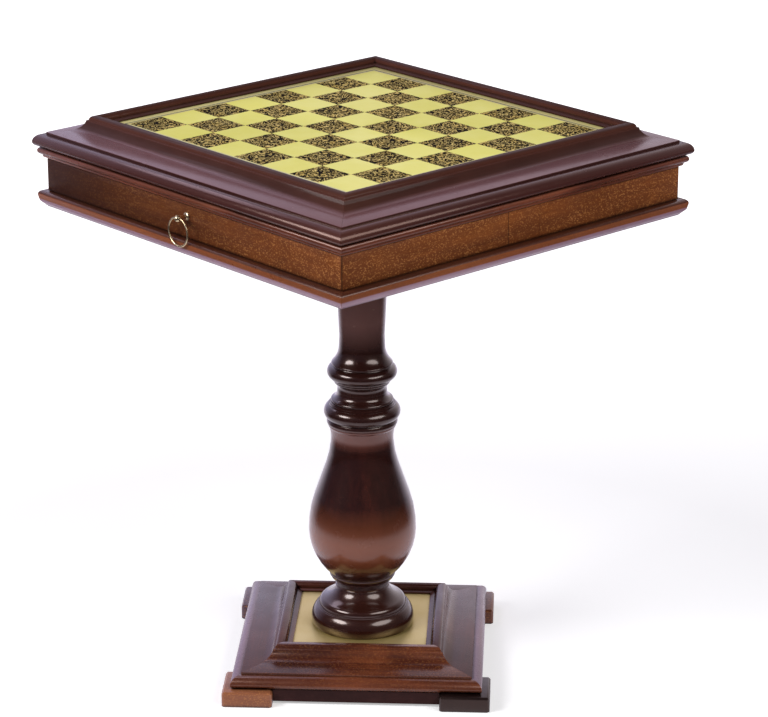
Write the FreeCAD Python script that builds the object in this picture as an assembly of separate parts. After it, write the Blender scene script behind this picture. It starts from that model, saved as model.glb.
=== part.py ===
"""Chess table with an inlaid board: a square top with two shallow drawers on a turned pedestal.

Millimetres, +Z up, origin on the floor below the middle of the pedestal. The top's sides face
+X, -X, +Y and -Y. A drawer slides out of the front, towards -Y, and another out of the back.
The square base is turned by BASE_TURN, so its corners lie below the middles of the top's sides.
A bulge is how far an arc stands off the middle of its chord.
"""
import FreeCAD, Part
import math
import os

# ---------------------------------------------------------------- driving dimensions

# Playing board
SQUARES = 8
SQUARE = 50.0
SQUARE_JOINT = 0.1
PLATE_T = 1.5
INNER_STRIP_W = 2.7
LINE_W = 2.0
BORDER_W = 10.3
CORE_T = 14.0
CORE_FIT = 0.3
BATTEN_W = 24.0

# Cove moulding that frames both the board and the base plate, seen in section.
# Its surface level is the height of the framed plate above the moulding's underside.
FRAME_LEVEL = 29.0
FRAME_RABBET = 6.0
BAND_W = 5.8
BAND_H = 1.9
BAND_RISE = 1.4
QUIRK_W = 0.8
QUIRK_D = 1.2
RIDGE_W = 13.6
RIDGE_H = 9.5
RIDGE_SHOULDER = 4.7
RIDGE_ROUND_W = 5.0
RIDGE_BULGE = 1.3
RIDGE_STEP_W = 2.0
RIDGE_STEP_H = 0.7
COVE_FOOT_H = 17.6
COVE_SLOPE_H = 2.4
COVE_W = 15.0
COVE_BULGE = 3.0
NOSE_OUT = 12.9
NOSE_H = 5.8
NOSE_BULGE = 3.0
NOSE_UNDER = 5.0
NOSE_UNDER_BULGE = 1.6
NOSE_FILLET = 2.4
NOSE_LEDGE = 1.4
TOP_FRAME_W = 57.3
BASE_FRAME_W = 59.4
MITRE_JOINT = 0.15

# Bead moulding below the top frame
BEAD_H = 15.5
BEAD_OUT = 8.7
BEAD_BACK = 12.3
BEAD_R = 4.7
BEAD_TOP_BAND = 1.0
BEAD_FILLET_OUT = 4.2
BEAD_FILLET_H = 4.6
BEAD_BEVEL_W = 3.4
BEAD_BEVEL_H = 1.8

# Case: aprons, bottom moulding, panels
FRONT_H = 39.7
FRONT_T = 18.0
FRONT_GAP = 0.5
MITRE_GAP = 0.4
FOOT_MOULD_H = 20.4
FOOT_MOULD_OUT = 9.6
FOOT_MOULD_NOSE_H = 15.0
FOOT_MOULD_NOSE_W = 4.2
FOOT_MOULD_NOSE_BULGE = 1.2
FOOT_MOULD_BEVEL_H = 7.5
FOOT_MOULD_BEVEL_OUT = 7.8
FOOT_MOULD_TOE = 0.6
FOOT_MOULD_W = 22.0
FOOT_MOULD_LIP = 10.0
CASE_RECESS = 6.2
CASE_PANEL_T = 9.0
SUB_TOP_T = 6.0
DIVIDER_T = 12.0
DIVIDER_SPACE = 50.0

# Drawers
BOX_H = 39.0
BOX_SIDE_T = 10.0
BOX_BACK_T = 8.0
BOX_BOTTOM_T = 4.0
BOX_BOTTOM_UP = 2.0
BOX_GROOVE = 4.0
BOX_GROOVE_FIT = 0.1
BOX_SIDE_GAP = 0.5
BOX_END_GAP = 1.0
TAILS = 3
TAIL_DEPTH = 11.0
TAIL_ROOT = 6.0
TAIL_FLARE = 1.3
TAIL_FIT = 0.05
LINING_T = 1.0
LINING_FIT = 0.3
RUNNER_W = 20.0
RUNNER_GAP = 0.3
GUIDE_T = 9.5
GUIDE_H = 30.0
GUIDE_SETBACK = 2.5

# Ring pull, above the middle of the drawer front
PULL_RISE = 6.2
ROSETTE_R = 4.9
ROSETTE_RIM = 0.9
ROSETTE_T = 4.4
ROSETTE_HOLLOW = 0.8
POST_R = 2.0
BALL_R = 4.3
BALL_OUT = 13.2
STUD_R = 2.0
STUD_L = 14.0
STUD_FIT = 0.05
RING_R = 17.3
RING_WIRE_R = 1.15
RING_WIRE_FLATS = 8
RING_PIN_L = 2.6
RING_PIN_FIT = 0.05
RING_BALL_GAP = 0.4

# Turned pedestal: a collar, a vase and a shaft, stacked on a threaded rod. Each member, from the
# bottom up, is a name, its height, the radius at its top and its bulge. A hollow's is negative.
COLLAR_FOOT_R = 64.2
COLLAR_MEMBERS = (
    ("torus", 24.0, 58.5, 3.7),
    ("lower step", 0.0, 57.0, 0.0),
    ("lower fillet", 1.6, 57.0, 0.0),
    ("upper step", 0.0, 55.4, 0.0),
    ("upper fillet", 1.6, 55.4, 0.0),
    ("shoulder", 7.3, 49.4, 1.5),
    ("hollow", 15.4, 33.2, -2.1),
    ("neck ring", 0.8, 34.6, 0.0),
    ("neck ring top", 0.9, 33.2, 0.0),
    ("neck", 10.4, 39.3, -1.0),
)
VASE_FOOT_R = 39.3
VASE_MEMBERS = (
    ("neck top", 3.9, 41.0, 0.0),
    ("band edge", 0.0, 41.6, 0.0),
    ("band", 4.4, 41.8, 0.5),
    ("low belly", 58.2, 68.1, 6.8),
    ("high belly", 47.0, 60.1, 2.0),
    ("taper", 42.0, 45.5, 0.0),
    ("low throat", 30.0, 39.4, -1.0),
    ("high throat", 18.6, 41.6, -1.0),
    ("lower bead", 4.2, 43.0, 0.6),
    ("step", 0.0, 43.8, 0.0),
    ("upper bead", 6.0, 43.8, 0.8),
    ("notch", 0.8, 42.8, 0.0),
    ("torus", 18.4, 42.6, 5.4),
    ("lower step", 0.0, 41.6, 0.0),
    ("lower fillet", 2.3, 41.6, 0.0),
    ("upper step", 0.0, 40.2, 0.0),
    ("upper fillet", 2.1, 40.2, 0.0),
)
SHAFT_FOOT_R = 38.6
SHAFT_MEMBERS = (
    ("lip", 3.4, 38.4, 0.7),
    ("flare", 10.9, 31.4, -2.5),
    ("neck", 9.7, 34.0, -1.4),
    ("lower bead", 3.2, 35.4, 0.6),
    ("step", 0.0, 36.2, 0.0),
    ("upper bead", 3.2, 37.6, 0.5),
    ("ring edge", 0.0, 38.6, 0.0),
    ("ring", 16.9, 37.4, 5.9),
    ("notch", 0.9, 36.8, 0.0),
    ("upper lip", 3.2, 38.0, 1.0),
    ("sweep", 21.2, 28.9, -2.3),
    ("waist", 15.0, 28.4, 0.0),
    ("stem", 126.0, 34.5, -0.3),
    ("stem top", 10.6, 38.5, -0.8),
    ("cap edge", 0.0, 43.5, 0.0),
    ("cap bead", 5.2, 43.5, 2.4),
    ("cap", 8.8, 43.5, 0.0),
)
# Turned and bent curves are made as short straight cuts that leave them by no more than this.
TURNING_SAG = 0.35
PULL_SAG = 0.15
MOUNT_PLATE = 190.0
MOUNT_PLATE_T = 14.0

# Threaded rod with its nuts and washers
ROD_R = 5.0
ROD_BORE_R = 5.5
NUT_ACROSS = 16.0
NUT_H = 8.0
NUT_FIT = 0.05
WASHER_R = 13.0
WASHER_T = 2.0
WASHER_FIT = 0.3
ROD_STICKS_OUT = 3.5
COUNTERBORE_R = 15.0
COUNTERBORE_D = 11.0

# Base
BASE_SIGHT = 83.8
BASE_PLATE_T = 1.2
BASE_BACKING_T = 9.0
BASE_BLOCK = 110.0
BASE_PANEL_T = 15.8
BASE_PANEL_INSET = 3.2
FOOT_W = 62.5
FOOT_L = 65.0
FOOT_H = 19.5
FOOT_OUT = 10.0
FOOT_EASE = 2.5
FOOT_FIT = 0.3

# Countersunk wood screws
SCREW_R = 2.0
SCREW_HEAD_R = 4.0
SCREW_HEAD_H = 2.6
SCREW_L = 28.0
SCREW_FIT = 0.1
SCREW_SINK = 1.5
PLATE_SCREW_L = 19.0
PLATE_SCREW_INSET = 18.0

# ---------------------------------------------------------------- derived dimensions

SAME_PLACE = 1e-6
SIDES = ("front", "right", "back", "left")
QUARTER_TURN = 360 / len(SIDES)
BASE_TURN = QUARTER_TURN / 2

field_half = SQUARES * SQUARE / 2
line_inner = field_half + INNER_STRIP_W
line_outer = line_inner + LINE_W
top_sight = line_outer + BORDER_W
board_half = top_sight + FRAME_RABBET
apron_half = top_sight + TOP_FRAME_W
apron_inner = apron_half - FRONT_T
base_half = BASE_SIGHT + BASE_FRAME_W

z_base_frame = FOOT_H
z_base_plate = z_base_frame + FRAME_LEVEL
z_backing = z_base_plate - BASE_PLATE_T - BASE_BACKING_T
z_vase = z_base_plate + sum(height for name, height, radius, bulge in COLLAR_MEMBERS)
z_shaft = z_vase + sum(height for name, height, radius, bulge in VASE_MEMBERS)
z_mount = z_shaft + sum(height for name, height, radius, bulge in SHAFT_MEMBERS)
z_case_panel = z_mount + MOUNT_PLATE_T
z_case_floor = z_case_panel + CASE_PANEL_T
z_foot_mould = z_case_panel - CASE_RECESS
z_apron = z_foot_mould + FOOT_MOULD_H
z_front = z_apron + FRONT_GAP
z_bead = z_front + FRONT_H + FRONT_GAP
z_top_frame = z_bead + BEAD_H
z_board = z_top_frame + FRAME_LEVEL
z_pull = z_front + FRONT_H / 2 + PULL_RISE

mould_inner = apron_half - FOOT_MOULD_W
guide_face = apron_inner - GUIDE_T
box_half = guide_face - BOX_SIDE_GAP
divider_face = DIVIDER_SPACE / 2 + DIVIDER_T
box_end = divider_face + BOX_END_GAP
box_floor = z_front + BOX_BOTTOM_UP

# ---------------------------------------------------------------- helpers


def vec(x, y, z):
    return FreeCAD.Vector(x, y, z)


def box(x_from, x_to, y_from, y_to, z_from, z_to):
    """A block between two corners."""
    return Part.makeBox(x_to - x_from, y_to - y_from, z_to - z_from, vec(x_from, y_from, z_from))


def rod(radius, z_from, z_to, x=0.0, y=0.0):
    """An upright cylinder."""
    return Part.makeCylinder(radius, z_to - z_from, vec(x, y, z_from))


def turned_about_z(shape, degrees):
    """A copy of the shape turned about the pedestal's axis."""
    copy = shape.copy()
    copy.rotate(vec(0, 0, 0), vec(0, 0, 1), degrees)
    return copy


def arc_middle(start, end, bulge):
    """The point that stands off the middle of a chord, to the left of its way."""
    run = end[0] - start[0]
    rise = end[1] - start[1]
    lean = 2 * bulge / math.hypot(run, rise)
    return ((start[0] + end[0] - lean * rise) / 2, (start[1] + end[1] + lean * run) / 2)


def cuts(start, end, bulge, sag):
    """How many straight cuts make an arc, for them to leave it by no more than the sag."""
    half_chord = math.dist(start, end) / 2
    radius = (half_chord ** 2 + bulge ** 2) / (2 * abs(bulge))
    return math.ceil(2 * math.atan(abs(bulge) / half_chord) / math.acos(1 - sag / radius))


def section_edges(start, steps, place, sag=None):
    """Edges of a closed section. A step is a point, with a bulge to the left for an arc to it."""
    edges = []
    here = start
    for across, up, *bulge in [*steps, start]:
        end = (across, up)
        if any(bulge):
            middle = arc_middle(here, end, bulge[0])
            arc = Part.Arc(place(*here), place(*middle), place(*end)).toShape()
            if sag:
                corners = arc.discretize(Number=cuts(here, end, bulge[0], sag) + 1)
                edges += Part.makePolygon(corners).Edges
            else:
                edges.append(arc)
        elif math.dist(here, end) > SAME_PLACE:
            edges.append(Part.LineSegment(place(*here), place(*end)).toShape())
        here = end
    return edges


def section(start, steps, place):
    """A closed section as a wire."""
    return Part.Wire(section_edges(start, steps, place))


def turned(bore, foot_radius, members, sag, z):
    """A piece turned round the pedestal's axis, with its curves as short straight cuts."""
    def place(radius, height):
        return vec(radius, 0, height)

    steps = [(foot_radius, 0)]
    top = 0
    for name, height, radius, bulge in members:
        top += height
        steps.append((radius, top, -bulge))
    steps.append((bore, top))
    face = Part.Face(Part.Wire(section_edges((bore, 0), steps, place, sag)))
    solid = face.revolve(vec(0, 0, 0), vec(0, 0, 1), 360)
    solid.translate(vec(0, 0, z))
    return solid


def opposite(shape):
    """A copy of what is at the front, for the back."""
    return turned_about_z(shape, 2 * QUARTER_TURN)


def mitre_wedge(reach, z_from, z_to, gap):
    """The quarter of the plan that faces -Y, less half a joint at both mitres."""
    apex = -gap / math.sqrt(2)
    corners = [(0, apex), (reach, apex - reach), (-reach, apex - reach), (0, apex)]
    face = Part.Face(Part.makePolygon([vec(x, y, z_from) for x, y in corners]))
    return face.extrude(vec(0, 0, z_to - z_from))


def mitred_side(wire, reach, gap):
    """A straight moulding along the -Y side: a wire in the Y-Z plane, mitred at both ends."""
    bar = Part.Face(wire).extrude(vec(2 * reach, 0, 0))
    bar.translate(vec(-reach, 0, 0))
    bounds = bar.BoundBox
    return bar.common(mitre_wedge(reach, bounds.ZMin, bounds.ZMax, gap))


def bent_wire(path, radius):
    """A wire with flats, mitred along a path of (x, z) points on the plane y = 0."""
    corners = []
    for before, here, after in zip(path[:1] + path[:-1], path, path[1:] + path[-1:]):
        coming = vec(here[0] - before[0], 0, here[1] - before[1])
        going = vec(after[0] - here[0], 0, after[1] - here[1])
        ways = [way.normalize() for way in (coming, going) if way.Length > SAME_PLACE]
        along = sum(ways, vec(0, 0, 0)).normalize()
        mitre = vec(along.z, 0, -along.x) / along.dot(ways[0])
        turns = [2 * math.pi * index / RING_WIRE_FLATS for index in range(RING_WIRE_FLATS + 1)]
        ring = [mitre * (radius * math.cos(a)) + vec(0, radius * math.sin(a), 0) for a in turns]
        corners.append(Part.makePolygon([vec(here[0], 0, here[1]) + point for point in ring]))
    return Part.makeLoft(corners, True, True)


def four_times(shape, turn=0.0):
    """Copies of what is on the -Y side, one for each side in the order of SIDES."""
    return [turned_about_z(shape, turn + index * QUARTER_TURN) for index in range(len(SIDES))]


def all_round(name, side, turn=0.0):
    """The copies for the four sides as named nodes."""
    return {f"{name}_{label}": [copy] for label, copy in zip(SIDES, four_times(side, turn))}


def mitred_ring(inner, outer, z_from, z_to, gap):
    """Four flat strips round a square."""
    def place(out, up):
        return vec(0, -out, up)

    strip = section((inner, z_from), [(inner, z_to), (outer, z_to), (outer, z_from)], place)
    return four_times(mitred_side(strip, outer, gap))


# ---------------------------------------------------------------- mouldings


def frame_section(sight, width, z):
    """Section of the cove moulding. Inner band, ridge, cove, fillet and bullnose, in that order."""
    def place(out, up):
        return vec(0, -(sight + out), z + up)

    band_top = FRAME_LEVEL + BAND_H + BAND_RISE
    quirk_bottom = band_top - QUIRK_D
    ridge_in = BAND_W + QUIRK_W
    ridge_out = ridge_in + RIDGE_W
    ridge_top = FRAME_LEVEL + RIDGE_H
    shoulder = FRAME_LEVEL + RIDGE_SHOULDER
    cove_in = ridge_out + RIDGE_STEP_W
    ledge = COVE_FOOT_H - NOSE_FILLET
    steps = [
        (0, FRAME_LEVEL + BAND_H),
        (BAND_W, band_top),
        (BAND_W, quirk_bottom),
        (ridge_in, quirk_bottom),
        (ridge_in, shoulder),
        (ridge_in + RIDGE_ROUND_W, ridge_top, RIDGE_BULGE),
        (ridge_out - RIDGE_ROUND_W, ridge_top),
        (ridge_out, shoulder, RIDGE_BULGE),
        (cove_in, shoulder - RIDGE_STEP_H),
        (cove_in + COVE_W, COVE_FOOT_H + COVE_SLOPE_H, -COVE_BULGE),
        (width, COVE_FOOT_H),
        (width, ledge),
        (width + NOSE_LEDGE, ledge),
        (width + NOSE_OUT, NOSE_H, NOSE_BULGE),
        (width + NOSE_OUT - NOSE_UNDER, 0, NOSE_UNDER_BULGE),
        (FRAME_RABBET, 0),
        (FRAME_RABBET, FRAME_LEVEL),
    ]
    return section((0, FRAME_LEVEL), steps, place)


def bead_section():
    """Section of the bead under the top frame: a round bead over a fillet with a bevel."""
    def place(out, up):
        return vec(0, -(apron_half + out), z_bead + up)

    bead_top = BEAD_H - BEAD_TOP_BAND
    bead_low = bead_top - 2 * BEAD_R
    bead_in = BEAD_OUT - BEAD_R
    steps = [
        (bead_in, BEAD_H),
        (bead_in, bead_top),
        (bead_in, bead_low, BEAD_R),
        (bead_in, BEAD_FILLET_H),
        (BEAD_FILLET_OUT, BEAD_FILLET_H),
        (BEAD_BEVEL_W, BEAD_BEVEL_H),
        (0, 0),
        (-BEAD_BACK, 0),
    ]
    return section((-BEAD_BACK, BEAD_H), steps, place)


def foot_mould_section():
    """Section of the case's bottom moulding, with the groove that holds the case floor."""
    def place(out, up):
        return vec(0, -(apron_half + out), z_foot_mould + up)

    inner = -FOOT_MOULD_W
    groove = inner + FOOT_MOULD_LIP
    floor_top = CASE_RECESS + CASE_PANEL_T
    steps = [
        (FOOT_MOULD_OUT - FOOT_MOULD_NOSE_W, FOOT_MOULD_H),
        (FOOT_MOULD_OUT, FOOT_MOULD_NOSE_H, FOOT_MOULD_NOSE_BULGE),
        (FOOT_MOULD_BEVEL_OUT, FOOT_MOULD_BEVEL_H),
        (FOOT_MOULD_TOE, 0),
        (inner, 0),
        (inner, CASE_RECESS),
        (groove, CASE_RECESS),
        (groove, floor_top),
        (inner, floor_top),
    ]
    return section((inner, FOOT_MOULD_H), steps, place)


# ---------------------------------------------------------------- pedestal


def pedestal():
    """The collar, the vase and the shaft, bored for the rod."""
    return {
        "pedestal_collar": [turned(ROD_BORE_R, COLLAR_FOOT_R, COLLAR_MEMBERS, TURNING_SAG, z_base_plate)],
        "pedestal_vase": [turned(ROD_BORE_R, VASE_FOOT_R, VASE_MEMBERS, TURNING_SAG, z_vase)],
        "pedestal_shaft": [turned(ROD_BORE_R, SHAFT_FOOT_R, SHAFT_MEMBERS, TURNING_SAG, z_shaft)],
    }


# ---------------------------------------------------------------- fasteners


def wood_screw(x, y, z_head, length, extra=0.0):
    """A countersunk screw pointing up, head down. With extra it is the hole for one."""
    head = Part.makeCone(SCREW_HEAD_R + extra, SCREW_R + extra, SCREW_HEAD_H, vec(x, y, z_head))
    shank = rod(SCREW_R + extra, z_head, z_head + length + extra, x, y)
    return head.fuse(shank).removeSplitter()


def screw_hole(x, y, z_head, z_face, length):
    """The screw's hole, opened down to the face that its head is sunk below."""
    open_end = rod(SCREW_HEAD_R + SCREW_FIT, z_face, z_head, x, y)
    return wood_screw(x, y, z_head, length, SCREW_FIT).fuse(open_end)


def foot_screw_places():
    """Two screws in each foot, as x and y in the base's own unturned frame."""
    outer = base_half + NOSE_OUT + FOOT_OUT
    places = []
    for side_x in (-1, 1):
        for side_y in (-1, 1):
            centre_x = side_x * (outer - FOOT_W / 2)
            centre_y = side_y * (outer - FOOT_L / 2)
            spread = FOOT_L / 5
            places.append((centre_x - side_x * spread, centre_y + side_y * spread / 2))
            places.append((centre_x + side_x * spread / 2, centre_y - side_y * spread))
    return places


def plate_screw_places():
    """One screw near each corner of the mounting plate."""
    reach = MOUNT_PLATE / 2 - PLATE_SCREW_INSET
    return [(x, y) for x in (-reach, reach) for y in (-reach, reach)]


def nut(z):
    """A hexagon nut on the rod."""
    corner_r = NUT_ACROSS / math.sqrt(3)
    angles = [math.radians(60 * step) for step in range(7)]
    points = [vec(corner_r * math.cos(a), corner_r * math.sin(a), z) for a in angles]
    hexagon = Part.Face(Part.makePolygon(points)).extrude(vec(0, 0, NUT_H))
    chamfer = Part.makeCone(NUT_ACROSS / 2 + NUT_H, NUT_ACROSS / 2 - 0.3, NUT_H + 0.3, vec(0, 0, z))
    return hexagon.common(chamfer).cut(rod(ROD_R + NUT_FIT, z - 1, z + NUT_H + 1))


def washer(z):
    return rod(WASHER_R, z, z + WASHER_T).cut(rod(ROD_R + WASHER_FIT, z - 1, z + WASHER_T + 1))


def rod_set():
    """The threaded rod with its washers and nuts, from below the base floor to inside the case."""
    seat_low = z_base_frame - BASE_PANEL_T + COUNTERBORE_D
    washer_low = seat_low - WASHER_T
    nut_low = washer_low - NUT_H
    washer_high = z_case_floor
    nut_high = washer_high + WASHER_T
    bar = rod(ROD_R, nut_low - 0.5, nut_high + NUT_H + ROD_STICKS_OUT)
    return {
        "threaded_rod": [bar],
        "rod_washers": [washer(washer_low), washer(washer_high)],
        "rod_nuts": [nut(nut_low), nut(nut_high)],
    }


# ---------------------------------------------------------------- base


def base_corners():
    """The four corners of the base, as signs along its own x and y, with the way each points."""
    return (("front", -1, -1), ("right", 1, -1), ("back", 1, 1), ("left", -1, 1))


def foot_block(side_x, side_y, grow=0.0):
    """A foot's block at its corner. With grow it is the notch for it."""
    outer = base_half + NOSE_OUT + FOOT_OUT
    x_in = outer - FOOT_W - grow
    y_in = outer - FOOT_L - grow
    x_range = sorted((side_x * x_in, side_x * outer))
    y_range = sorted((side_y * y_in, side_y * outer))
    return box(*x_range, *y_range, 0, FOOT_H)


def eased(block):
    """The block with small bevels on all its edges but those on the floor."""
    edges = [e for e in block.Edges if e.BoundBox.ZMax > FOOT_H / 2]
    return block.makeChamfer(FOOT_EASE, edges)


def feet():
    holes = [screw_hole(x, y, SCREW_SINK, 0, SCREW_L) for x, y in foot_screw_places()]
    nodes = {}
    for label, side_x, side_y in base_corners():
        block = eased(foot_block(side_x, side_y))
        for hole in holes:
            block = block.cut(hole)
        nodes[f"foot_{label}"] = [turned_about_z(block, BASE_TURN)]
    return nodes


def base_frame():
    """The four cove mouldings of the base, drilled for the foot screws."""
    reach = base_half + NOSE_OUT
    side = mitred_side(frame_section(BASE_SIGHT, BASE_FRAME_W, z_base_frame), reach, MITRE_JOINT)
    holes = [screw_hole(x, y, SCREW_SINK, 0, SCREW_L) for x, y in foot_screw_places()]
    nodes = {}
    for label, rail in zip(SIDES, four_times(side)):
        for hole in holes:
            rail = rail.cut(hole)
        nodes[f"base_rail_{label}"] = [turned_about_z(rail, BASE_TURN)]
    return nodes


def base_panel():
    """The floor board of the base, notched round the feet and counterbored for the nut."""
    half = base_half + NOSE_OUT - BASE_PANEL_INSET
    z_low = z_base_frame - BASE_PANEL_T
    board = box(-half, half, -half, half, z_low, z_base_frame)
    for label, side_x, side_y in base_corners():
        board = board.cut(foot_block(side_x, side_y, FOOT_FIT))
    board = board.cut(rod(ROD_BORE_R, z_low - 1, z_base_frame + 1))
    board = board.cut(rod(COUNTERBORE_R, z_low - 1, z_low + COUNTERBORE_D))
    return turned_about_z(board, BASE_TURN)


def framed_square(half, z_from, z_to):
    """A square panel in the base, bored for the rod."""
    panel = box(-half, half, -half, half, z_from, z_to).cut(rod(ROD_BORE_R, z_from - 1, z_to + 1))
    return turned_about_z(panel, BASE_TURN)


def base_inside():
    """The brass plate, the board that backs it, and the block that carries both."""
    half = BASE_SIGHT + FRAME_RABBET - CORE_FIT
    z_brass = z_base_plate - BASE_PLATE_T
    return {
        "base_plate": [framed_square(half, z_brass, z_base_plate)],
        "base_backing": [framed_square(half, z_backing, z_brass)],
        "base_block": [framed_square(BASE_BLOCK / 2, z_base_frame, z_backing)],
    }


# ---------------------------------------------------------------- case


def mount_plate():
    """The board between pedestal and case, screwed up into the case floor."""
    half = MOUNT_PLATE / 2
    plate = box(-half, half, -half, half, z_mount, z_case_panel)
    upright = [e for e in plate.Edges if e.BoundBox.ZLength > MOUNT_PLATE_T / 2]
    plate = plate.makeFillet(MOUNT_PLATE_T / 2, upright)
    plate = plate.cut(rod(ROD_BORE_R, z_mount - 1, z_case_panel + 1))
    for x, y in plate_screw_places():
        plate = plate.cut(screw_hole(x, y, z_mount + SCREW_SINK, z_mount, PLATE_SCREW_L))
    return plate


def case_floor():
    half = mould_inner + FOOT_MOULD_LIP
    floor = box(-half, half, -half, half, z_case_panel, z_case_floor)
    floor = floor.cut(rod(ROD_BORE_R, z_case_panel - 1, z_case_floor + 1))
    for x, y in plate_screw_places():
        floor = floor.cut(screw_hole(x, y, z_mount + SCREW_SINK, z_mount, PLATE_SCREW_L))
    return floor


def panel_in_plan(gap):
    """Plan of an apron or drawer front on the -Y side, mitred at both ends, as an upright prism."""
    cut = gap / math.sqrt(2)
    outer = apron_half - cut
    inner = apron_inner - cut
    corners = [(-outer, -apron_half), (outer, -apron_half), (inner, -apron_inner), (-inner, -apron_inner)]
    return Part.Face(Part.makePolygon([vec(x, y, 0) for x, y in corners + corners[:1]]))


def apron():
    """The fixed apron on the -Y side. Copies of it close the left and right."""
    panel = panel_in_plan(MITRE_GAP).extrude(vec(0, 0, z_bead - z_apron))
    panel.translate(vec(0, 0, z_apron))
    return panel


def dividers():
    """Two boards across the middle that stop the drawers and box in the rod's end."""
    z_top = z_top_frame - SUB_TOP_T
    near = DIVIDER_SPACE / 2
    upper = box(-apron_inner, apron_inner, -divider_face, -near, z_apron, z_top)
    lower = box(-mould_inner, mould_inner, -divider_face, -near, z_case_floor, z_apron)
    front = upper.fuse(lower).removeSplitter()
    return [front, opposite(front)]


def runners_and_guides():
    """The strips that the drawers slide on, and those that keep them straight."""
    y_from = -mould_inner
    runner = box(box_half - RUNNER_W, box_half, y_from, -divider_face, z_case_floor, z_front - RUNNER_GAP)
    y_guide = -(apron_inner - GUIDE_SETBACK)
    upper = box(guide_face, apron_inner, y_guide, -divider_face, z_apron, z_apron + GUIDE_H)
    lower = box(guide_face, mould_inner, y_from, -divider_face, z_case_floor, z_apron)
    guide = upper.fuse(lower).removeSplitter()
    mirrored = [piece.mirror(vec(0, 0, 0), vec(1, 0, 0)) for piece in (runner, guide)]
    return {
        "drawer_runners": [runner, mirrored[0], opposite(runner), opposite(mirrored[0])],
        "drawer_guides": [guide, mirrored[1], opposite(guide), opposite(mirrored[1])],
    }


def sub_top():
    half = apron_half - BEAD_BACK
    return box(-half, half, -half, half, z_top_frame - SUB_TOP_T, z_top_frame)


# ---------------------------------------------------------------- board


def squares(parity):
    """Every other square of the board. The squares at the right front corner have parity 0."""
    first = -field_half + SQUARE_JOINT / 2
    side = SQUARE - SQUARE_JOINT
    found = []
    for column in range(SQUARES):
        for row in range(SQUARES):
            if (column + row + SQUARES + 1) % 2 == parity:
                x = first + column * SQUARE
                y = first + row * SQUARE
                found.append(box(x, x + side, y, y + side, z_board - PLATE_T, z_board))
    return found


def board():
    z_core = z_board - PLATE_T
    core_half = board_half - CORE_FIT
    gap = SQUARE_JOINT
    core = box(-core_half, core_half, -core_half, core_half, z_core - CORE_T, z_core)
    inner_strips = mitred_ring(field_half, line_inner, z_core, z_board, gap)
    outer_strips = mitred_ring(line_outer, core_half, z_core, z_board, gap)
    return {
        "board_core": [core],
        "light_squares": squares(0),
        "dark_squares": squares(1),
        "board_border": inner_strips + outer_strips,
        "board_line": mitred_ring(line_inner, line_outer, z_core, z_board, gap),
        "board_battens": mitred_ring(core_half - BATTEN_W, core_half, z_top_frame, z_core - CORE_T, gap),
    }


# ---------------------------------------------------------------- drawers


def tail(index, grow):
    """One dovetail of the drawer's left side, in the drawer front. With grow it is its socket."""
    spacing = BOX_H / TAILS
    z_mid = z_front + spacing * (index + 0.5)
    root = TAIL_ROOT / 2 + grow
    tip = root + TAIL_FLARE
    y_root = -apron_inner
    y_tip = y_root - TAIL_DEPTH - grow
    profile = [(y_root, z_mid - root), (y_tip, z_mid - tip), (y_tip, z_mid + tip), (y_root, z_mid + root)]
    face = Part.Face(Part.makePolygon([vec(-box_half - grow, y, z) for y, z in profile + profile[:1]]))
    return face.extrude(vec(BOX_SIDE_T + 2 * grow, 0, 0))


def in_both_sides(shape):
    return [shape, shape.mirror(vec(0, 0, 0), vec(1, 0, 0))]


def drawer_bottom(grow):
    """The bottom board, held in grooves. With grow it is the space for it."""
    half = box_half - BOX_SIDE_T + BOX_GROOVE + grow
    y_front = -(apron_inner + BOX_GROOVE + grow)
    return box(-half, half, y_front, -box_end, box_floor - grow, box_floor + BOX_BOTTOM_T + grow)


def drawer_front():
    panel = panel_in_plan(MITRE_GAP).extrude(vec(0, 0, FRONT_H))
    panel.translate(vec(0, 0, z_front))
    for index in range(TAILS):
        for socket in in_both_sides(tail(index, TAIL_FIT)):
            panel = panel.cut(socket)
    panel = panel.cut(drawer_bottom(BOX_GROOVE_FIT))
    stud_hole = Part.makeCylinder(STUD_R + STUD_FIT, STUD_L + 0.5, vec(0, -apron_half, z_pull), vec(0, 1, 0))
    return panel.cut(stud_hole)


def drawer_side():
    """The drawer's left side with its dovetails."""
    side = box(-box_half, -box_half + BOX_SIDE_T, -apron_inner, -box_end, z_front, z_front + BOX_H)
    for index in range(TAILS):
        side = side.fuse(tail(index, 0.0))
    return side.removeSplitter().cut(drawer_bottom(BOX_GROOVE_FIT))


def drawer_back():
    half = box_half - BOX_SIDE_T
    z_from = box_floor + BOX_BOTTOM_T
    return box(-half, half, -box_end - BOX_BACK_T, -box_end, z_from, z_front + BOX_H)


def drawer_lining():
    half = box_half - BOX_SIDE_T - LINING_FIT
    z_from = box_floor + BOX_BOTTOM_T
    y_from = -apron_inner + LINING_FIT
    return box(-half, half, y_from, -box_end - BOX_BACK_T - LINING_FIT, z_from, z_from + LINING_T)


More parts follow.
